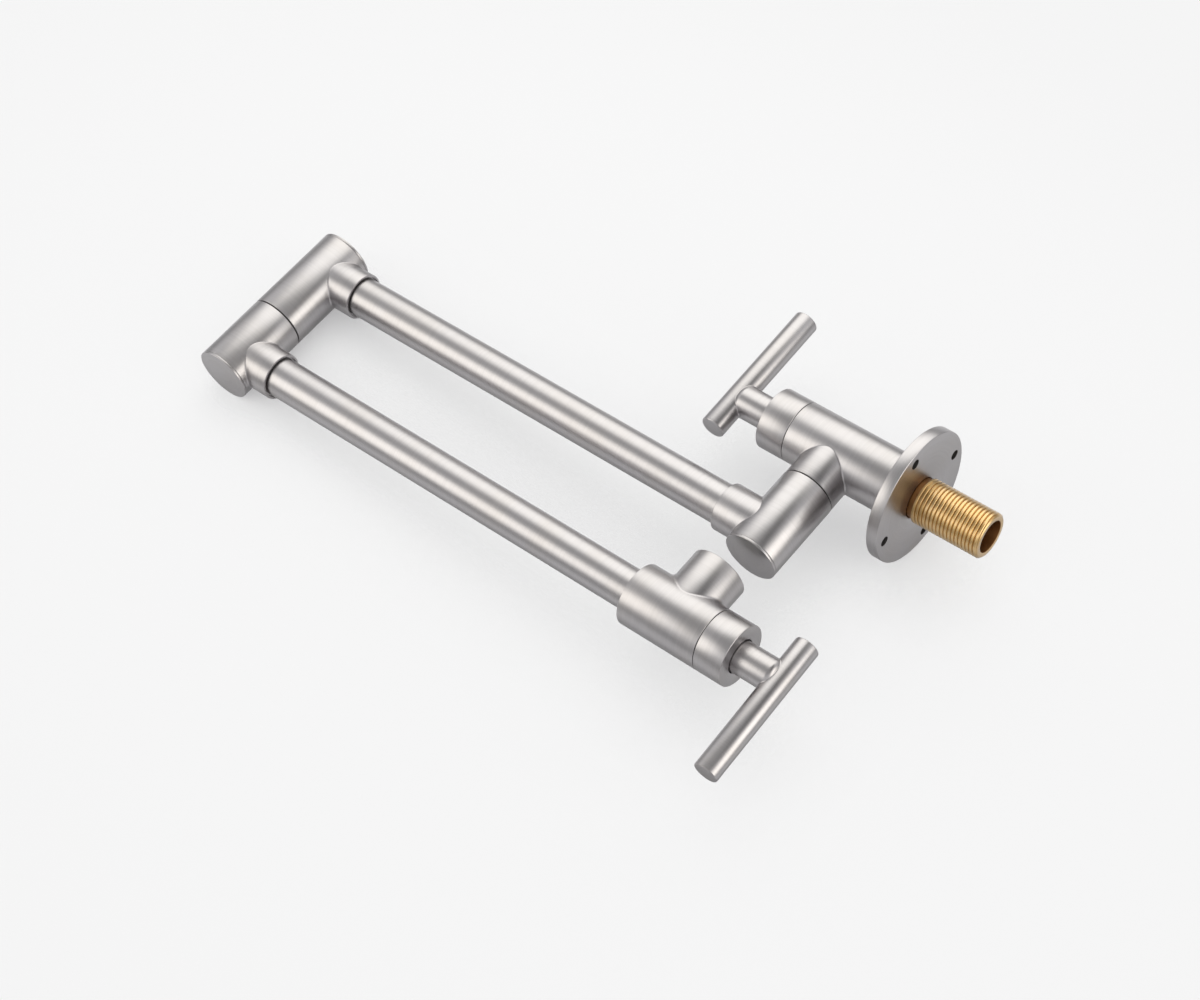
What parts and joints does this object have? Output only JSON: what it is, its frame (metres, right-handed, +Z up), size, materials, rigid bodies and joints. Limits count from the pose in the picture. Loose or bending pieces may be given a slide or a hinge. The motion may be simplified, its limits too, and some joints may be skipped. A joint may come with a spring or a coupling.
{
  "type": "wall mounted pot filler",
  "caption": "Wall mounted pot filler tap with double jointed folding arms, a round wall flange, and quarter turn lever valves at the inlet and at the spout.",
  "frame": {"origin": "where the inlet's axis meets the wall plane, at the centre of the flange's back face", "axes": "+Y along the inlet into the wall, +Z up, X across; at rest the first arm points along -Y into the room and the second arm is folded back above it"},
  "size_m": [0.062, 0.35, 0.2053],
  "materials": {
    "brushed_nickel": "satin brushed nickel, brushed round each turned piece",
    "nipple_brass": "turned, bright",
    "valve_brass": "turned, plain",
    "white_ceramic": "polished alumina",
    "black_rubber": "moulded, greased",
    "black_plastic": "moulded black acetal",
    "spring_steel": "spring steel, plain",
    "screen_plastic": "moulded, plain"
  },
  "bodies": {
    "wall_side": {"wall_flange": "brushed_nickel", "inlet_nipple": "nipple_brass", "inlet_nipple_seal": "black_rubber", "inlet_valve_body": "brushed_nickel", "inlet_cartridge_housing": "valve_brass", "inlet_fixed_disc": "white_ceramic", "inlet_seat_seal": "black_rubber", "inlet_cartridge_o_ring": "black_rubber", "inlet_bonnet": "brushed_nickel", "wall_swivel_post": "valve_brass", "wall_swivel_o_rings": "black_rubber", "wall_swivel_washer": "black_plastic", "wall_swivel_retainer": "spring_steel"},
    "inlet_lever": {"inlet_handle": "brushed_nickel", "inlet_handle_screw": "spring_steel", "inlet_spindle": "valve_brass", "inlet_spindle_o_ring": "black_rubber", "inlet_moving_disc": "white_ceramic"},
    "first_arm": {"wall_swivel_body": "brushed_nickel", "wall_swivel_cap": "brushed_nickel", "first_arm_tube": "brushed_nickel", "first_arm_seals": "black_rubber", "elbow_lower_body": "brushed_nickel", "elbow_lower_cap": "brushed_nickel", "elbow_post": "valve_brass", "elbow_o_rings": "black_rubber", "elbow_washer": "black_plastic", "elbow_retainer": "spring_steel"},
    "second_arm": {"elbow_upper_body": "brushed_nickel", "elbow_upper_cap": "brushed_nickel", "second_arm_tube": "brushed_nickel", "second_arm_seals": "black_rubber", "spout_valve_body": "brushed_nickel", "spout_cartridge_housing": "valve_brass", "spout_fixed_disc": "white_ceramic", "spout_seat_seal": "black_rubber", "spout_cartridge_o_ring": "black_rubber", "spout_bonnet": "brushed_nickel", "aerator_housing": "black_plastic", "aerator_screen": "screen_plastic", "aerator_diffuser": "screen_plastic", "aerator_washer": "black_rubber"},
    "spout_lever": {"spout_handle": "brushed_nickel", "spout_handle_screw": "spring_steel", "spout_spindle": "valve_brass", "spout_spindle_o_ring": "black_rubber", "spout_moving_disc": "white_ceramic"}
  },
  "joints": [
    {"name": "wall_swivel_turn", "type": "hinge", "parent": "wall_side", "child": "first_arm", "pos_m": [0, -0.041, 0.0235], "axis": [0, 0, 1], "range_deg": [-90, 90]},
    {"name": "elbow_turn", "type": "hinge", "parent": "first_arm", "child": "second_arm", "pos_m": [0, -0.301, 0.0825], "axis": [0, 0, 1], "continuous": true},
    {"name": "inlet_handle_turn", "type": "hinge", "parent": "wall_side", "child": "inlet_lever", "pos_m": [0, -0.062, 0], "axis": [0, -1, 0], "range_deg": [0, 90]},
    {"name": "spout_handle_turn", "type": "hinge", "parent": "second_arm", "child": "spout_lever", "pos_m": [0, -0.0285, 0.105], "axis": [0, 1, 0], "range_deg": [0, 90]}
  ]
}
